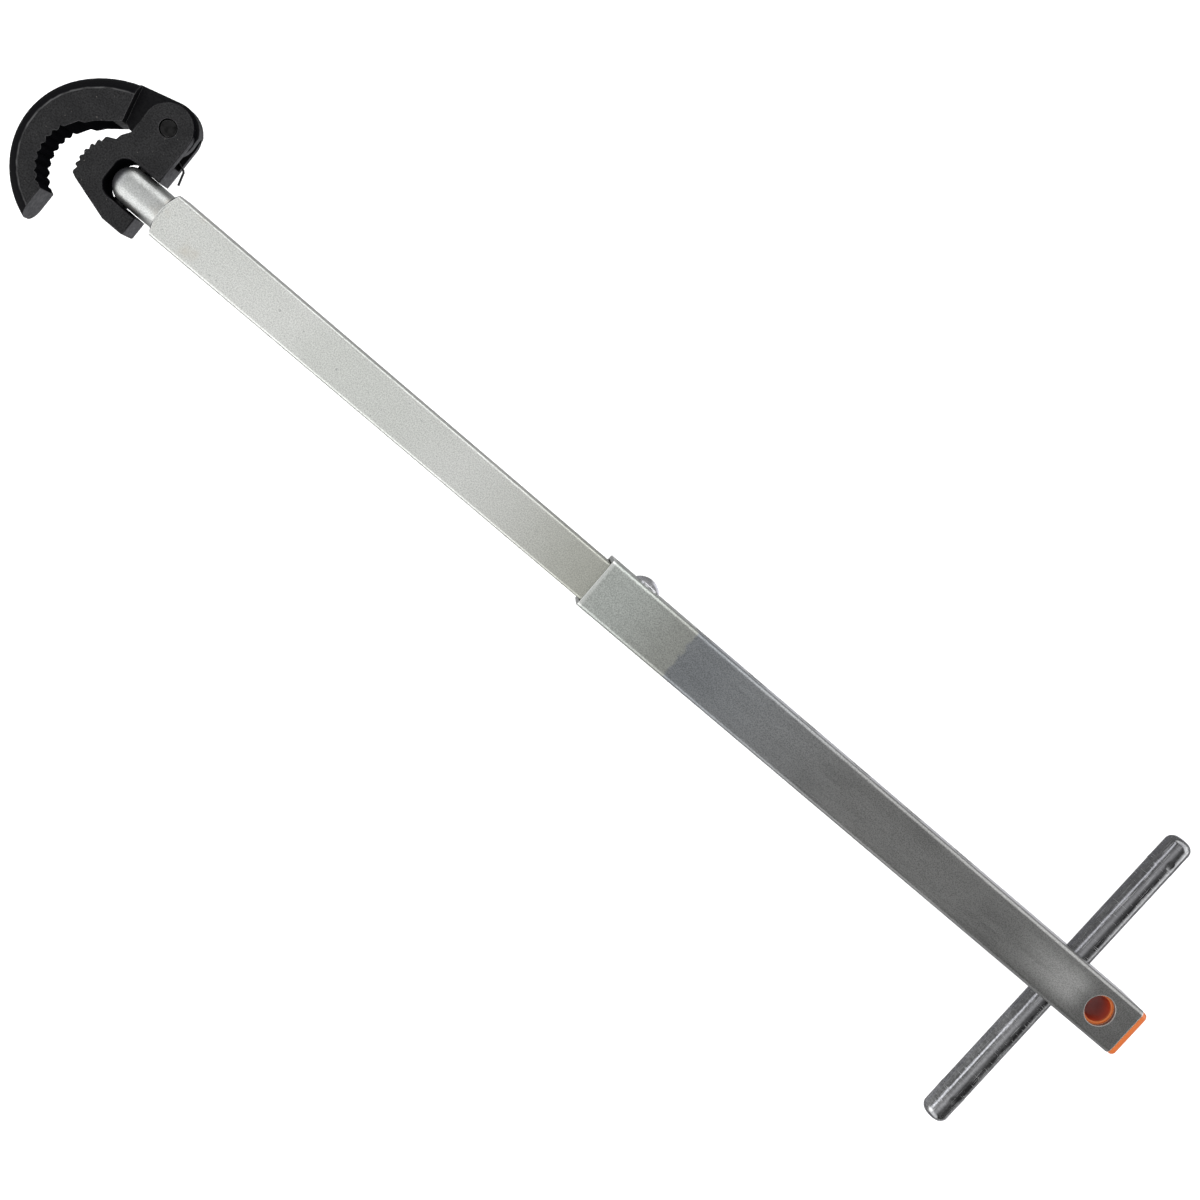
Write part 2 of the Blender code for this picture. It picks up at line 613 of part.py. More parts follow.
def make_jaw_spring(parts):
    """Torsion spring round the pivot pin: a tail in the tang, a coil, and a leg past the heel jaw's edge."""
    start = JAW_COIL_OFF - 2 * math.pi * JAW_COIL_TURNS
    x = PIVOT_X + JAW_COIL_RADIUS * math.cos(start)
    y = PIVOT_Y + JAW_COIL_RADIUS * math.sin(start)
    points = [(x, y, JAW_TAIL_TOP), (x, y, JAW_COIL_TOP + JAW_WIRE / 2)]
    count = round(JAW_TURN_STEPS * JAW_COIL_TURNS)
    for i in range(1, count + 1):
        angle = start + 2 * math.pi * JAW_COIL_TURNS * i / count
        x = PIVOT_X + JAW_COIL_RADIUS * math.cos(angle)
        y = PIVOT_Y + JAW_COIL_RADIUS * math.sin(angle)
        points.append((x, y, JAW_COIL_TOP - JAW_COIL_PITCH * JAW_COIL_TURNS * i / count))
    low = points[-1][2]
    points += [(leg_x, leg_y, low) for leg_x, leg_y in JAW_LEG]
    spring = wire("jaw_spring", points, JAW_WIRE, parts)
    return finish(spring, paint("jaw_spring_steel", (0.05, 0.05, 0.055), 0.4, 0.8), (PIVOT_X, PIVOT_Y, 0))


def main():
    clear_scene()
    parts = new_collection("basin_wrench")
    cutters = new_collection("cutters")
    make_outer_tube(parts, cutters)
    make_end_plug(parts, cutters)
    make_tee_bar(parts, cutters)
    make_shank_bar(parts, cutters)
    make_detent_button(parts)
    make_detent_spring(parts)
    make_heel_jaw(parts, cutters)
    make_hook_jaw(parts, cutters)
    make_pins(parts)
    make_jaw_spring(parts)


main()
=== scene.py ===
"""Looks of the telescoping basin wrench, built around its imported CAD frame.

Blender's unit is the metre, and detail sizes are written as millimetres times MM. Places come from the
frame's boxes: the shank runs along +X to the head, and +Z is the front face that the camera looks at.
"""

import math

import bmesh
import bpy
from mathutils import Matrix, Vector


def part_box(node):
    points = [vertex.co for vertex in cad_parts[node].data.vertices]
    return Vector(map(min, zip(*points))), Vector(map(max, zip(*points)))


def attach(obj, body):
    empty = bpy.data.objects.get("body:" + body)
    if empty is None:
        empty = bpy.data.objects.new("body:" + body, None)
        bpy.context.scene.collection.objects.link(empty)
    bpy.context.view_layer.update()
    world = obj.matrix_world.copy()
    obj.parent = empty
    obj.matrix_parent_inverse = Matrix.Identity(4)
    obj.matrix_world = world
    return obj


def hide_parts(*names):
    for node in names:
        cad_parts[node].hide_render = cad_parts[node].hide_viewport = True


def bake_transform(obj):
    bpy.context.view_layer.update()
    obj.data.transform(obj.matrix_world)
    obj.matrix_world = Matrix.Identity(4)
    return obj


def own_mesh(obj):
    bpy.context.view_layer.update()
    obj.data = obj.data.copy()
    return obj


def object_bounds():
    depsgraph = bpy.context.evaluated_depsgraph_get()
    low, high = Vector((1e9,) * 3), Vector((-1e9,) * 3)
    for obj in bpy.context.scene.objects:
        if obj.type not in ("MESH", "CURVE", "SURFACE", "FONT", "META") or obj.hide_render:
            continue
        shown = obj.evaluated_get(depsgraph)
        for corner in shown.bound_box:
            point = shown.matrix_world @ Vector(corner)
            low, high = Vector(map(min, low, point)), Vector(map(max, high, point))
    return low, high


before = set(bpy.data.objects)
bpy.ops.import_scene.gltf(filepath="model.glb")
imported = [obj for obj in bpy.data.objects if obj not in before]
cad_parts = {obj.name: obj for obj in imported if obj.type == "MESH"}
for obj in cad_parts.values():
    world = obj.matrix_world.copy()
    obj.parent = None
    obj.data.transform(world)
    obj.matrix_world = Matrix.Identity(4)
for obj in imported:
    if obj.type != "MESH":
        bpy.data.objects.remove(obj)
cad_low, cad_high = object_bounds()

MM = 0.001

# Camera and stage
CAMERA_PLACE = Vector((0.2990, -0.0258, 0.4240))
CAMERA_AIM = Vector((0.2489, 0.0042, 0.0))
CAMERA_UP = math.radians(-49.32)
CAMERA_LENS = 37.17
FLOOR_REACH = 6.0
FLOOR_GAP = 2 * MM

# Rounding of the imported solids' edges
FLAT_WITHIN = math.radians(0.8)
SHARP_OVER = math.radians(32)
PLATED_ROUND = 0.16 * MM
JAW_ROUND = 0.22 * MM
PLASTIC_ROUND = 0.2 * MM

# Cross bar: swaged stops near its tips
TEE_TIP_ROUND = 3.4 * MM
TEE_STOP_FROM_TIP = 13.0 * MM
TEE_STOP_LENGTH = 5.0 * MM
TEE_STOP_RISE = 0.24 * MM
TEE_DENT_DEPTH = 0.2 * MM
TEE_DENT_RADIUS = 9.0 * MM
TEE_SIDES = 72
TEE_TIP_STEPS = 12
TEE_STOP_STEP = 0.25 * MM
TEE_STOP_LEAD = 0.3 * MM
TEE_DARK_START = 45 * MM
TEE_DARK_END = -4 * MM

# Where the looks change on the shank and the tube
SPIGOT_LENGTH = 21 * MM
STAIN_FROM_HEAD = 50 * MM
WARM_FROM_TUBE = 62 * MM
TIDE_FROM_END = 38 * MM
TIDE_FADE = 90 * MM
REFLECTION_TO_HEAD = 36 * MM
REFLECTION_TO_BUTT = 10 * MM

# Where the looks change on the hook: the middle of its mouth, the reach of its inner wall, and its tip
MOUTH_FROM_HEAD = 26.5 * MM
MOUTH_FROM_SIDE = 24.3 * MM
TEETH_REACH = 19 * MM
TIP_FROM_HEAD = 18.9 * MM

# Where the looks change on the jaws' sides and in the plug
TANG_HALF = 2.8 * MM
JAW_FLAT_HALF = 4.4 * MM
EYE_RIM = 1.5 * MM
CAP_DEPTH = 4 * MM

# Springs. JAW_LEG holds the bends of the jaw spring's leg, in millimetres from its end
JAW_WIRE_RADIUS = 0.375 * MM
JAW_COIL_RADIUS = 3.7 * MM
JAW_COIL_TURNS = 2.25
JAW_COIL_OFF = math.radians(69.5)
JAW_TAIL_LENGTH = 1.7 * MM
JAW_LEG = ((2.8, -5.25), (1.8, -4.95), (1.2, -4.3), (1.0, -3.5), (0.0, 0.0))
DETENT_WIRE_RADIUS = 0.35 * MM
DETENT_TURNS = 7
TURN_STEPS = 32
WIRE_SIDES = 12


def add_node(tree, kind, inputs=None, **settings):
    """A shader node. An input given as another node's output is linked, and anything else is its value."""
    node = tree.nodes.new("ShaderNode" + kind)
    for name, value in settings.items():
        setattr(node, name, value)
    for name, value in (inputs or {}).items():
        if isinstance(value, bpy.types.NodeSocket):
            tree.links.new(value, node.inputs[name])
        else:
            node.inputs[name].default_value = value
    return node


def noise(tree, size, detail=2.0, stretch=(1, 1, 1)):
    """Soft noise from 0 to 1 with blotches of about the given size, drawn out along the axes by stretch."""
    place = add_node(tree, "TexCoord").outputs["Object"]
    scale = [1 / (size * share) for share in stretch]
    scaled = add_node(tree, "Mapping", {"Vector": place, "Scale": scale}).outputs["Vector"]
    return add_node(tree, "TexNoise", {"Vector": scaled, "Scale": 1.0, "Detail": detail}).outputs["Fac"]


def ranged(tree, value, start, end, low=0.0, high=1.0):
    """low where value is at start or before it, high where it is at end or after it, and smooth between."""
    inputs = {"Value": value, "From Min": start, "From Max": end, "To Min": low, "To Max": high}
    return add_node(tree, "MapRange", inputs, interpolation_type="SMOOTHSTEP").outputs["Result"]


def band(tree, value, rise, full, fade, end):
    """1 where value is from full to fade, falling to 0 towards rise and towards end."""
    return combined(tree, "MULTIPLY", ranged(tree, value, rise, full), ranged(tree, value, end, fade))


def mixed(tree, share, first, second, blend="MIX"):
    """Colour between two colours, or the first one changed by the second."""
    node = add_node(tree, "Mix", data_type="RGBA", blend_type=blend)
    for socket, value in ((node.inputs[0], share), (node.inputs[6], first), (node.inputs[7], second)):
        if isinstance(value, bpy.types.NodeSocket):
            tree.links.new(value, socket)
        else:
            socket.default_value = (*value, 1.0) if isinstance(value, tuple) else value
    return node.outputs[2]


def combined(tree, operation, first, second):
    return add_node(tree, "Math", {0: first, 1: second}, operation=operation).outputs[0]


def along(tree, axis):
    """The place along one axis of the frame, in metres."""
    place = add_node(tree, "TexCoord").outputs["Object"]
    return add_node(tree, "SeparateXYZ", {"Vector": place}).outputs[axis]


def size_of(tree, value):
    return add_node(tree, "Math", {0: value}, operation="ABSOLUTE").outputs[0]


def facing(tree, axis):
    """How far a face looks along one axis of the frame, from -1 to 1."""
    normal = add_node(tree, "TexCoord").outputs["Normal"]
    return add_node(tree, "SeparateXYZ", {"Vector": normal}).outputs[axis]


def edges(tree, width):
    """1 on edges and corners, falling to 0 within about width of them."""
    rounded = add_node(tree, "Bevel", {"Radius": width}, samples=6).outputs["Normal"]
    plain = add_node(tree, "NewGeometry").outputs["Normal"]
    alike = add_node(tree, "VectorMath", {0: rounded, 1: plain}, operation="DOT_PRODUCT").outputs["Value"]
    return ranged(tree, alike, 0.998, 0.93)


def new_material(name):
    material = bpy.data.materials.new(name)
    material.use_nodes = True
    return material, material.node_tree, material.node_tree.nodes["Principled BSDF"]


def connect(tree, shader, colour, roughness, height=None, depth=0.0, metallic=0.0):
    tree.links.new(colour, shader.inputs["Base Color"])
    tree.links.new(roughness, shader.inputs["Roughness"])
    shader.inputs["Metallic"].default_value = metallic
    if height is not None:
        bump = add_node(tree, "Bump", {"Height": height, "Distance": depth})
        tree.links.new(bump.outputs["Normal"], shader.inputs["Normal"])


def bar_zinc():
    """Pale galvanised finish: fine grain and a few flecks, warmer by the tube and stained by the head.
    Faces that look towards the head, into the heel jaw's slot, are darkened as painted shade.
    """
    material, tree, shader = new_material("bar_zinc")
    high_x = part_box("shank_bar")[1].x
    cloud = ranged(tree, noise(tree, 34 * MM, 1), 0.3, 0.7)
    colour = mixed(tree, cloud, (0.62, 0.635, 0.605), (0.67, 0.68, 0.655))
    tube_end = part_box("outer_tube")[1].x
    by_tube = ranged(tree, along(tree, "X"), tube_end + WARM_FROM_TUBE, tube_end - 10 * MM)
    colour = mixed(tree, by_tube, colour, (0.46, 0.465, 0.415))
    spigot_start = high_x - SPIGOT_LENGTH
    on_spigot = ranged(tree, along(tree, "X"), spigot_start, spigot_start + 0.5 * MM)
    colour = mixed(tree, on_spigot, colour, (0.50, 0.51, 0.50))
    grain = ranged(tree, noise(tree, 0.42 * MM, 4), 0.32, 0.66, 0.74, 1.08)
    colour = mixed(tree, 1.0, colour, grain, "MULTIPLY")
    flecks = ranged(tree, noise(tree, 1.5 * MM, 4), 0.25, 0.32)
    colour = mixed(tree, flecks, (0.36, 0.37, 0.36), colour)
    stain_start = high_x - STAIN_FROM_HEAD
    near_head = ranged(tree, along(tree, "X"), stain_start, stain_start + 16 * MM)
    stain = combined(tree, "MULTIPLY", near_head, ranged(tree, noise(tree, 9 * MM, 3), 0.55, 0.80, 0, 0.5))
    colour = mixed(tree, stain, colour, (0.50, 0.45, 0.36))
    colour = mixed(tree, edges(tree, 0.5 * MM), colour, (0.86, 0.87, 0.85))
    # Painted shade: faces that look along +X, into the heel jaw's slot, are darkened.
    colour = mixed(tree, ranged(tree, facing(tree, "X"), 0.25, 0.6, 0, 0.9), colour, (0.10, 0.10, 0.11))
    roughness = ranged(tree, noise(tree, 3 * MM, 3), 0.3, 0.7, 0.34, 0.44)
    connect(tree, shader, colour, roughness, noise(tree, 0.35 * MM, 3), 0.02 * MM, 0.9)
    return material


def tube_steel():
    """Darker plating, drawn along its length. It is paler between its open end and a tide line past the
    button, and has a painted reflection, a pale patch, over the cross bar."""
    material, tree, shader = new_material("tube_steel")
    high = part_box("outer_tube")[1]
    x = along(tree, "X")
    tide = high.x - TIDE_FROM_END
    wobble = combined(tree, "MULTIPLY", noise(tree, 5 * MM, 3), 4 * MM)
    pale = ranged(tree, combined(tree, "ADD", x, wobble), tide + 1.2 * MM, tide + 2.4 * MM)
    cloud = ranged(tree, noise(tree, 22 * MM, 2, (2.5, 1, 1)), 0.42, 0.66)
    dark = mixed(tree, cloud, (0.27, 0.27, 0.265), (0.34, 0.34, 0.335))
    blue = mixed(tree, cloud, (0.285, 0.30, 0.315), (0.345, 0.36, 0.375))
    dark = mixed(tree, ranged(tree, x, tide - TIDE_FADE, tide), dark, blue)
    tee_low, tee_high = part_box("tee_bar")
    tee_x = (tee_low.x + tee_high.x) / 2
    # Painted reflection: a pale patch across the middle of the tube over the cross bar.
    painted_reflection = band(tree, x, tee_x - REFLECTION_TO_BUTT, tee_x, tee_x, tee_x + REFLECTION_TO_HEAD)
    across = ranged(tree, size_of(tree, along(tree, "Y")), 10 * MM, 2 * MM)
    dark = mixed(tree, combined(tree, "MULTIPLY", painted_reflection, across), dark, (0.66, 0.66, 0.65))
    light = mixed(tree, ranged(tree, x, tide, high.x - 8 * MM), (0.42, 0.43, 0.40), (0.55, 0.58, 0.55))
    colour = mixed(tree, pale, dark, light)
    grain = ranged(tree, noise(tree, 0.42 * MM, 4), 0.32, 0.66, 0.61, 0.99)
    colour = mixed(tree, 1.0, colour, grain, "MULTIPLY")
    rim = ranged(tree, x, high.x - 1.8 * MM, high.x - 0.6 * MM)
    bright = combined(tree, "MAXIMUM", combined(tree, "MULTIPLY", rim, 0.45), edges(tree, 0.6 * MM))
    colour = mixed(tree, bright, colour, (0.86, 0.87, 0.85))
    lines = noise(tree, 0.5 * MM, 3, (40, 1, 1))
    roughness = ranged(tree, lines, 0.3, 0.7, 0.32, 0.42)
    height = combined(tree, "ADD", noise(tree, 0.4 * MM, 3), combined(tree, "MULTIPLY", lines, 0.5))
    connect(tree, shader, colour, roughness, height, 0.02 * MM, 0.9)
    return material


def tee_steel():
    """Bright rod with fine scratches along and round it and cloudy handling marks. Painted shade darkens a
    band of its round that looks part way towards +X, and it is darker towards its -Y tip."""
    material, tree, shader = new_material("tee_steel")
    cloud = ranged(tree, noise(tree, 5 * MM, 4, (1, 2, 1)), 0.40, 0.62)
    colour = mixed(tree, cloud, (0.42, 0.425, 0.43), (0.56, 0.565, 0.57))
    mottle = ranged(tree, noise(tree, 0.9 * MM, 3), 0.35, 0.65, 0.72, 1.12)
    colour = mixed(tree, 1.0, colour, mottle, "MULTIPLY")
    darkened = (0.17, 0.17, 0.18)
    # Painted shade: the band of the rod's round that looks part way towards +X is darkened.
    shaded_band = band(tree, facing(tree, "X"), 0.0, 0.2, 0.48, 0.62)
    colour = mixed(tree, combined(tree, "MULTIPLY", shaded_band, 0.7), colour, darkened)
    # Darker towards the -Y tip.
    low_half = ranged(tree, along(tree, "Y"), TEE_DARK_START, TEE_DARK_END, 0, 0.6)
    colour = mixed(tree, low_half, colour, darkened)
    scratches = ranged(tree, noise(tree, 0.35 * MM, 2, (1, 30, 1)), 0.60, 0.72)
    nicks = ranged(tree, noise(tree, 0.8 * MM, 3, (5, 0.4, 5)), 0.64, 0.70)
    marks = combined(tree, "MAXIMUM", scratches, nicks)
    colour = mixed(tree, combined(tree, "MULTIPLY", marks, 0.35), colour, (0.72, 0.72, 0.73))
    polish = ranged(tree, cloud, 0, 1, 0.11, 0.21)
    roughness = combined(tree, "MAXIMUM", polish, combined(tree, "MULTIPLY", marks, 0.4))
    height = combined(tree, "SUBTRACT", noise(tree, 2 * MM, 3), marks)
    connect(tree, shader, colour, roughness, height, 0.006 * MM, 1.0)
    return material


def toothed(tree):
    """1 on the hook's teeth and inner wall, which lie about the mouth, but for the end of its tip."""
    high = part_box("hook_jaw")[1]
    mouth = Vector((high.x - MOUTH_FROM_HEAD, high.y - MOUTH_FROM_SIDE, 0))
    place = add_node(tree, "TexCoord").outputs["Object"]
    offset = add_node(tree, "VectorMath", {0: place, 1: mouth}, operation="SUBTRACT").outputs["Vector"]
    flat = add_node(tree, "VectorMath", {0: offset, 1: (1, 1, 0)}, operation="MULTIPLY").outputs["Vector"]
    reach = add_node(tree, "VectorMath", {0: flat}, operation="LENGTH").outputs["Value"]
    near = ranged(tree, reach, TEETH_REACH, TEETH_REACH - 0.5 * MM)
    tip_x = high.x - TIP_FROM_HEAD
    past_tip = ranged(tree, along(tree, "X"), tip_x + 0.1 * MM, tip_x + 0.4 * MM)
    by_tang = ranged(tree, along(tree, "Y"), mouth.y + 2 * MM, mouth.y)
    return combined(tree, "MULTIPLY", near, combined(tree, "MAXIMUM", past_tip, by_tang))


def past_fork_end(tree):
    """1 on the heel jaw but for the ends of its fork."""
    fork_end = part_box("heel_jaw")[0].x
    return ranged(tree, along(tree, "X"), fork_end + 1 * MM, fork_end + 2 * MM)


def jaw_black(name, recess):
    """Black oxide with fine grain. Only the full-height flats get the paler flat colour; the sides, the
    forged rounding and the recessed tang get a near-black colour as painted shade. Rubbed edges are paler
    wear, a thin painted highlight runs where the flats turn into their rounding, and the ends that face the
    butt are satin. recess(tree) is 1 where the sides stay dark."""
    material, tree, shader = new_material(name)
    cloud = ranged(tree, noise(tree, 7 * MM, 3), 0.35, 0.68)
    flat = mixed(tree, cloud, (0.0095, 0.0095, 0.010), (0.0125, 0.0125, 0.013))
    grain = ranged(tree, noise(tree, 0.5 * MM, 3), 0.3, 0.65, 0.45, 1.55)
    flat = mixed(tree, 1.0, flat, grain, "MULTIPLY")
    specks = ranged(tree, noise(tree, 0.8 * MM, 2), 0.72, 0.75)
    flat = mixed(tree, specks, flat, (0.07, 0.065, 0.06))
    upright = size_of(tree, facing(tree, "Z"))
    # Painted shade: sides, rounding and the recessed tang faces get the near-black colour; only the
    # full-height flats that face +Z or -Z keep the paler flat colour.
    raised = ranged(tree, size_of(tree, along(tree, "Z")), TANG_HALF, JAW_FLAT_HALF, 0.2, 1)
    lit_flats = combined(tree, "MULTIPLY", ranged(tree, upright, 0.985, 0.998), raised)
    colour = mixed(tree, lit_flats, (0.0025, 0.0025, 0.003), flat)
    patches = ranged(tree, noise(tree, 5 * MM, 3), 0.38, 0.62, 0.2, 1)
    # Painted highlight: a thin pale line where the flats turn into their rounding, mixed with real wear on
    # rubbed edges in the same paler colour.
    ridge_highlight = band(tree, upright, 0.985, 0.997, 0.998, 0.9999)
    rubbed = combined(tree, "MULTIPLY", edges(tree, 0.35 * MM), ranged(tree, upright, 0.15, 0.5))
    wear_and_highlight = combined(tree, "MULTIPLY", combined(tree, "MAXIMUM", rubbed, ridge_highlight), patches)
    colour = mixed(tree, wear_and_highlight, colour, (0.055, 0.055, 0.056))
    roughness = ranged(tree, noise(tree, 1.2 * MM, 3), 0.3, 0.7, 0.38, 0.52)
    connect(tree, shader, colour, roughness, noise(tree, 0.4 * MM, 4), 0.05 * MM)
    open_side = ranged(tree, recess(tree), 1, 0)
    satin = combined(tree, "MULTIPLY", ranged(tree, facing(tree, "X"), -0.4, -0.8, 0.04, 0.45), open_side)
    specular = combined(tree, "MAXIMUM", combined(tree, "MULTIPLY", lit_flats, 0.1), satin)
    tree.links.new(specular, shader.inputs["Specular IOR Level"])
    return material


def plug_plastic():
    """Moulded orange plastic with a faint grain. Down in the eye it is painted a darker red as shade."""
    material, tree, shader = new_material("plug_plastic")
    cloud = noise(tree, 6 * MM, 2)
    colour = mixed(tree, cloud, (0.42, 0.100, 0.022), (0.48, 0.125, 0.032))
    colour = mixed(tree, edges(tree, 0.4 * MM), colour, (0.55, 0.19, 0.07))
    low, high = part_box("end_plug")
    reach = high.z - EYE_RIM
    deep = ranged(tree, size_of(tree, along(tree, "Z")), reach, reach - EYE_RIM)
    past_cap = ranged(tree, along(tree, "X"), low.x + CAP_DEPTH, low.x + CAP_DEPTH + 1 * MM)
    eye_shade = combined(tree, "MULTIPLY", deep, past_cap)
    # Painted shade: deep in the eye, past the cap, the plastic is darkened to a deep red.
    colour = mixed(tree, eye_shade, colour, (0.30, 0.028, 0.007))
    roughness = ranged(tree, noise(tree, 1.5 * MM, 2), 0.3, 0.7, 0.34, 0.44)
    connect(tree, shader, colour, roughness, noise(tree, 0.5 * MM, 2), 0.02 * MM)
    shader.inputs["Subsurface Weight"].default_value = 0.1
    shader.inputs["Subsurface Scale"].default_value = 1 * MM
    return material


def turned_steel(name, dark, light, rough, edge):
    """Turned steel: a cloudy sheen, and rims rubbed to the grey called edge."""
    material, tree, shader = new_material(name)
    cloud = ranged(tree, noise(tree, 2.5 * MM, 3), 0.35, 0.65)
    colour = mixed(tree, cloud, dark, light)
    colour = mixed(tree, edges(tree, 0.35 * MM), colour, (edge, edge, edge))
    roughness = ranged(tree, noise(tree, 0.8 * MM, 3), 0.3, 0.7, rough, rough + 0.1)
    connect(tree, shader, colour, roughness, noise(tree, 0.3 * MM, 3), 0.01 * MM, 1.0)
    return material


def floor_paint():
    """Plain pale paper with a barely visible tone."""
    material, tree, shader = new_material("floor_paint")
    colour = mixed(tree, noise(tree, 150 * MM, 2), (0.95, 0.95, 0.95), (0.97, 0.97, 0.97))
    roughness = ranged(tree, noise(tree, 40 * MM, 2), 0.0, 1.0, 0.85, 0.95)
    connect(tree, shader, colour, roughness)
    return material


def soften(name, width, segments=3):
    """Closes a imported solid's mesh, joins its flat triangles and rounds its sharp edges."""
    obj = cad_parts[name]
    weld = obj.modifiers.new("Weld", "WELD")
    weld.merge_threshold = 0.002 * MM
    flat = obj.modifiers.new("Flat", "DECIMATE")
    flat.decimate_type = "DISSOLVE"
    flat.angle_limit = FLAT_WITHIN
    bevel = obj.modifiers.new("Bevel", "BEVEL")
    bevel.width = width
    bevel.segments = segments
    bevel.limit_method = "ANGLE"
    bevel.angle_limit = SHARP_OVER
    normals = obj.modifiers.new("Normals", "WEIGHTED_NORMAL")
    normals.keep_sharp = True
    obj.data.shade_smooth()
    return obj


def dress(obj, material):
    obj.data.materials.clear()
    obj.data.materials.append(material)
    return obj


def mesh_piece(name, bm):
    bmesh.ops.recalc_face_normals(bm, faces=bm.faces)
    mesh = bpy.data.meshes.new(name)
    bm.to_mesh(mesh)
    bm.free()
    mesh.shade_smooth()
    obj = bpy.data.objects.new(name, mesh)
    bpy.context.scene.collection.objects.link(obj)
    return obj


def skin(name, rings):
    """Closed surface over rings of points that hold the same number each."""
    bm = bmesh.new()
    rows = [[bm.verts.new(point) for point in ring] for ring in rings]
    for row, following in zip(rows, rows[1:]):
        for i, vert in enumerate(row):
            j = (i + 1) % len(row)
            bm.faces.new((vert, row[j], following[j], following[i]))
    for row in (rows[0], rows[-1]):
        bm.faces.new(row)
    return mesh_piece(name, bm)


def wire(name, path, radius):
    """Round wire along a path, with flat ends."""
    rings = []
    side = None
    for i, place in enumerate(path):
        before, after = path[max(i - 1, 0)], path[min(i + 1, len(path) - 1)]
        forward = (after - before).normalized()
        if side is None:
            side = forward.orthogonal().normalized()
        side = (side - forward * side.dot(forward)).normalized()
        up = forward.cross(side)
        spokes = [side * math.cos(angle) + up * math.sin(angle) for angle in turn_angles(WIRE_SIDES)]
        rings.append([place + radius * spoke for spoke in spokes])
    return skin(name, rings)


def turn_angles(count):
    return [2 * math.pi * i / count for i in range(count)]


def tee_ring(y, low, high):
    """Ring of the cross bar at one y: its round tip, its dents and the ears that they push out sideways."""
    middle = (low + high) / 2
    full = (high.z - low.z) / 2
    tip_y = high.y if y > middle.y else low.y
    from_tip = abs(tip_y - y)
    radius = full
    if from_tip < TEE_TIP_ROUND:
        reach = TEE_TIP_ROUND - from_tip
        radius = full - TEE_TIP_ROUND + math.sqrt(max(TEE_TIP_ROUND**2 - reach**2, 0))
    past_step = (TEE_STOP_FROM_TIP - from_tip) / TEE_STOP_LENGTH
    ear = TEE_STOP_RISE * (1 - past_step) if 0 <= past_step <= 1 else 0
    from_dent = (past_step - 0.5) * TEE_STOP_LENGTH
    flat = full - max(TEE_DENT_DEPTH - from_dent**2 / (2 * TEE_DENT_RADIUS), 0)
    ring = []
    for angle in turn_angles(TEE_SIDES):
        x = math.cos(angle) * (radius + ear * math.cos(angle) ** 4)
        z = math.sin(angle) * radius
        ring.append(Vector((middle.x + x, y, max(-flat, min(flat, z)))))
    return ring


def tee_stations(low, high):
    """Places along Y of the cross bar's rings, close together at the tips and the stops."""
    half = []
    for i in range(TEE_TIP_STEPS + 1):
        half.append(TEE_TIP_ROUND * (1 - math.cos(math.pi / 2 * i / TEE_TIP_STEPS)))
    stop_end = TEE_STOP_FROM_TIP - TEE_STOP_LENGTH
    stop_steps = round(TEE_STOP_LENGTH / TEE_STOP_STEP)
    half += [stop_end - TEE_STOP_LEAD + i * TEE_STOP_STEP for i in range(stop_steps + 1)]
    half += [TEE_STOP_FROM_TIP, TEE_STOP_FROM_TIP + 0.12 * MM, TEE_STOP_FROM_TIP + 1.5 * MM]
    return [low + d for d in half] + [high - d for d in reversed(half)]


def make_cross_bar():
    low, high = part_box("tee_bar")
    rings = [tee_ring(y, low, high) for y in tee_stations(low.y, high.y)]
    bar = dress(skin("cross_bar", rings), tee_steel())
    bar.data.set_sharp_from_angle(angle=math.radians(40))
    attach(bar, "tee")
    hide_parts("tee_bar")


def make_detent_coil(material):
    """Coil that pushes the button out, from the blind end behind it."""
    low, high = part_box("detent_spring")
    middle = (low + high) / 2
    radius = (high.x - low.x) / 2 - DETENT_WIRE_RADIUS
    start, end = low.y + DETENT_WIRE_RADIUS, high.y - DETENT_WIRE_RADIUS
    count = TURN_STEPS * DETENT_TURNS
    path = []
    for i in range(count + 1):
        angle = 2 * math.pi * DETENT_TURNS * i / count
        y = start + (end - start) * i / count
        path.append(Vector((middle.x + radius * math.cos(angle), y, middle.z + radius * math.sin(angle))))
    coil = dress(wire("detent_coil", path, DETENT_WIRE_RADIUS), material)
    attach(coil, "shank")
    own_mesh(coil)
    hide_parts("detent_spring")


def make_jaw_coil(material):
    """Torsion spring round the pivot pin, its tail in the hook's tang and its leg past the heel jaw."""
    low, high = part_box("jaw_spring")
    pin_low, pin_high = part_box("pivot_pin")
    pivot = (pin_low + pin_high) / 2
    start = JAW_COIL_OFF - 2 * math.pi * JAW_COIL_TURNS
    top, bottom = high.z - JAW_TAIL_LENGTH, low.z + JAW_WIRE_RADIUS

    def coil_point(angle, z):
        spoke = JAW_COIL_RADIUS * Vector((math.cos(angle), math.sin(angle), 0))
        return Vector((pivot.x, pivot.y, z)) + spoke

    path = [coil_point(start, high.z), coil_point(start, top + JAW_WIRE_RADIUS)]
    count = round(TURN_STEPS * JAW_COIL_TURNS)
    for i in range(1, count + 1):
        share = i / count
        path.append(coil_point(start + 2 * math.pi * JAW_COIL_TURNS * share, top + (bottom - top) * share))
    leg_x = low.x + JAW_WIRE_RADIUS
    leg_y = high.y - JAW_WIRE_RADIUS
    for from_x, from_y in JAW_LEG:
        path.append(Vector((leg_x + from_x * MM, leg_y + from_y * MM, bottom)))
    coil = dress(wire("jaw_coil", path, JAW_WIRE_RADIUS), material)
    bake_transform(coil)
    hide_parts("jaw_spring")


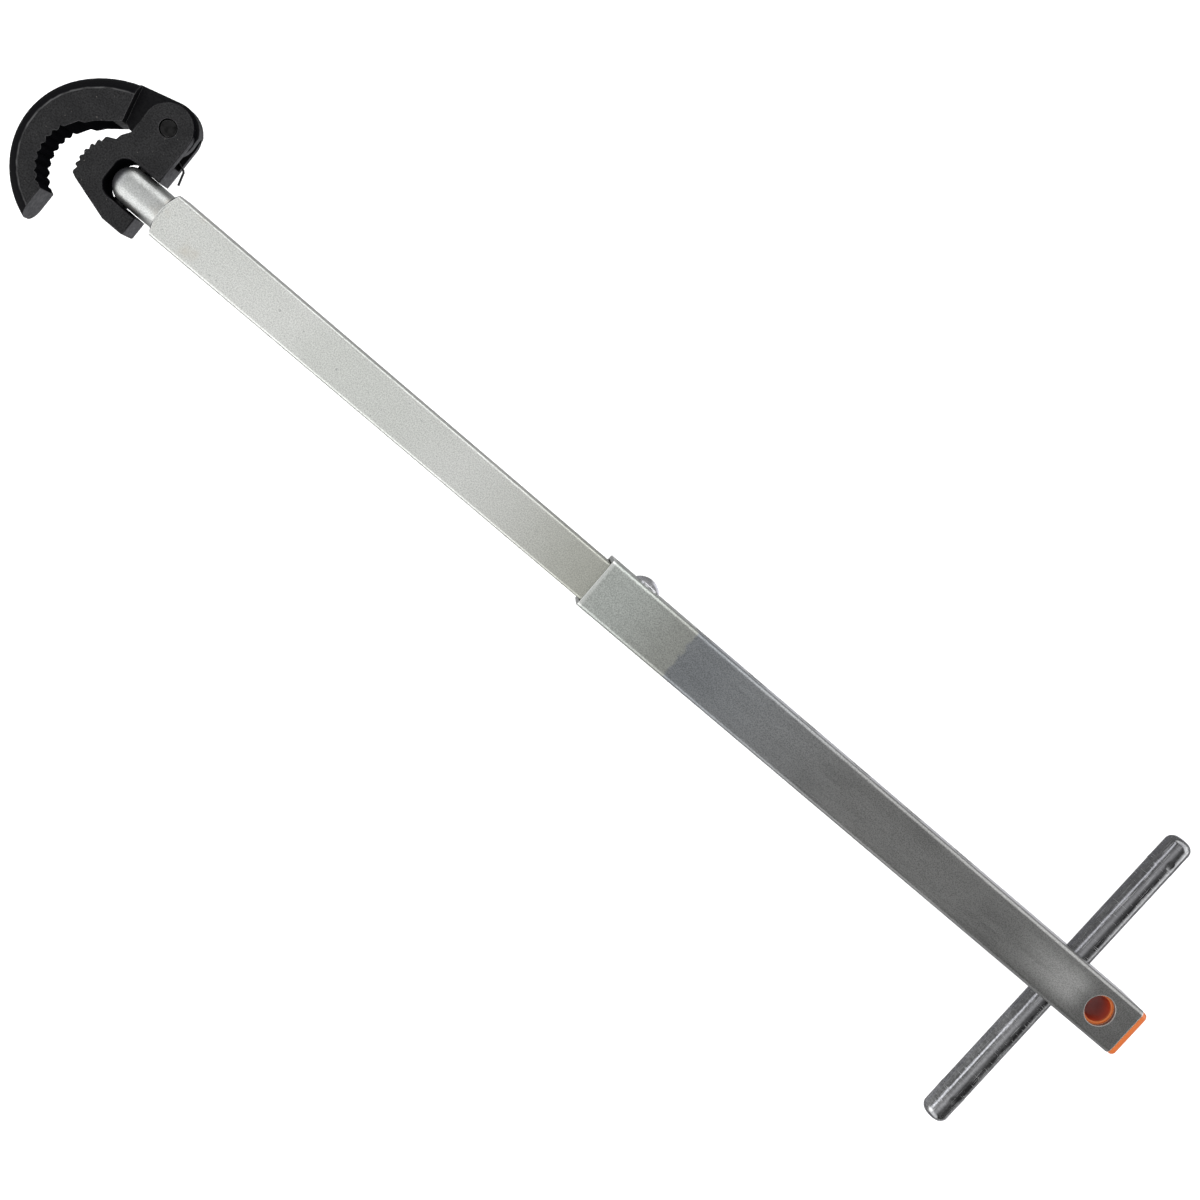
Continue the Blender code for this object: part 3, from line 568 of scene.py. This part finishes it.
def finish_packed_solids():
    """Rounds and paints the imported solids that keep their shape."""
    dress(soften("outer_tube", PLATED_ROUND), tube_steel())
    dress(soften("shank_bar", PLATED_ROUND), bar_zinc())
    dress(soften("end_plug", PLASTIC_ROUND), plug_plastic())
    button_steel = turned_steel("button_steel", (0.58, 0.58, 0.60), (0.72, 0.72, 0.74), 0.2, 0.85)
    dress(soften("detent_button", PLATED_ROUND), button_steel)
    dress(soften("heel_jaw", JAW_ROUND), jaw_black("jaw_black", past_fork_end))
    dress(soften("hook_jaw", JAW_ROUND), jaw_black("hook_black", toothed))
    pin_steel = turned_steel("pin_steel", (0.010, 0.010, 0.010), (0.025, 0.025, 0.025), 0.4, 0.55)
    dress(soften("swivel_pin", PLATED_ROUND), pin_steel)
    dress(soften("pivot_pin", PLATED_ROUND), pin_steel)


def make_floor():
    """Pale floor just below the reach of the head when it is swivelled."""
    pin_low, pin_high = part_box("swivel_pin")
    reach = cad_high.x - (pin_low.x + pin_high.x) / 2
    middle = (cad_low + cad_high) / 2
    bm = bmesh.new()
    bmesh.ops.create_grid(bm, x_segments=8, y_segments=8, size=FLOOR_REACH)
    bm.transform(Matrix.Translation((middle.x, middle.y, -reach - FLOOR_GAP)))
    floor = dress(mesh_piece("floor", bm), floor_paint())
    floor.visible_glossy = False


def make_world():
    """Studio surround: white on both sides of the tool, darker past its ends and below, a bright card past
    the head, and overhead a grey that brightens towards the head. The camera itself sees plain white."""
    world = bpy.data.worlds.new("studio")
    world.use_nodes = True
    bpy.context.scene.world = world
    tree = world.node_tree
    direction = add_node(tree, "TexCoord").outputs["Generated"]
    split = add_node(tree, "SeparateXYZ", {"Vector": direction}).outputs
    past_middle = combined(tree, "MULTIPLY", combined(tree, "MINIMUM", split["X"], 0.0), 0.8)
    sideways = combined(tree, "ADD", split["Y"], past_middle)
    left = ranged(tree, sideways, 0.25, 0.7)
    right = ranged(tree, sideways, -0.60, -0.85)
    ends = mixed(tree, ranged(tree, split["X"], -0.3, 0.7), (0.05, 0.05, 0.05), (0.30, 0.30, 0.30))
    walls = mixed(tree, combined(tree, "MAXIMUM", left, right), ends, (2.1, 2.1, 2.1))
    towards_head = ranged(tree, split["X"], -0.38, 0.2, 0.17, 1.08)
    overhead = combined(tree, "MULTIPLY", towards_head, ranged(tree, split["X"], 0.25, 0.6, 1.0, 0.6))
    tone = mixed(tree, ranged(tree, split["Z"], 0.7, 0.93), walls, overhead)
    card = band(tree, split["X"], 0.74, 0.80, 0.86, 0.92)
    card = combined(tree, "MULTIPLY", card, ranged(tree, split["Z"], 0.2, 0.4))
    tone = mixed(tree, card, tone, (1.8, 1.8, 1.9))
    tone = mixed(tree, ranged(tree, split["Z"], 0.15, 0.0), tone, (0.35, 0.35, 0.35))
    under_butt = mixed(tree, ranged(tree, split["X"], -0.1, -0.3), (0.30, 0.30, 0.30), (1.0, 1.0, 1.06))
    under_butt = mixed(tree, ranged(tree, split["X"], 0.2, 0.4), under_butt, (0.35, 0.35, 0.37))
    tone = mixed(tree, ranged(tree, split["Z"], -0.45, -0.65), tone, under_butt)
    seen = add_node(tree, "LightPath").outputs["Is Camera Ray"]
    tree.links.new(mixed(tree, seen, tone, (0.95, 0.95, 0.95)), tree.nodes["Background"].inputs["Color"])


def make_light(name, place, size, power):
    """Softbox that faces the middle of the object and isn't mirrored in its metal."""
    light = bpy.data.lights.new(name, "AREA")
    light.shape = "RECTANGLE"
    light.size, light.size_y = size
    light.energy = power
    lamp = bpy.data.objects.new(name, light)
    middle = (cad_low + cad_high) / 2
    lamp.location = middle + Vector(place)
    lamp.rotation_euler = Vector(place).to_track_quat("Z", "Y").to_euler()
    lamp.visible_glossy = False
    bpy.context.scene.collection.objects.link(lamp)


def make_lights():
    """Wide lamps that only brighten: the metal mirrors the studio surround instead."""
    make_light("softbox_head", (0.62, 0.05, 0.66), (1.1, 0.55), 2.8)
    make_light("fill_left", (0.1, 0.9, 1.1), (1.6, 1.6), 10.5)
    make_light("fill_right", (-0.1, -0.9, 1.1), (1.6, 1.6), 10.5)


def make_camera():
    back = (CAMERA_PLACE - CAMERA_AIM).normalized()
    right = Vector((math.cos(CAMERA_UP), math.sin(CAMERA_UP), 0)).cross(back).normalized()
    turn = Matrix((right, back.cross(right), back)).transposed()
    camera = bpy.data.objects.new("camera", bpy.data.cameras.new("camera"))
    camera.matrix_world = Matrix.Translation(CAMERA_PLACE) @ turn.to_4x4()
    camera.data.lens = CAMERA_LENS
    camera.data.clip_start = 10 * MM
    bpy.context.scene.collection.objects.link(camera)
    bpy.context.scene.camera = camera


finish_packed_solids()
make_cross_bar()
spring_steel = turned_steel("spring_steel", (0.030, 0.030, 0.032), (0.055, 0.055, 0.058), 0.36, 0.10)
make_detent_coil(spring_steel)
make_jaw_coil(spring_steel)
make_floor()
make_world()
make_lights()
make_camera()
bpy.context.scene.view_settings.view_transform = "Standard"
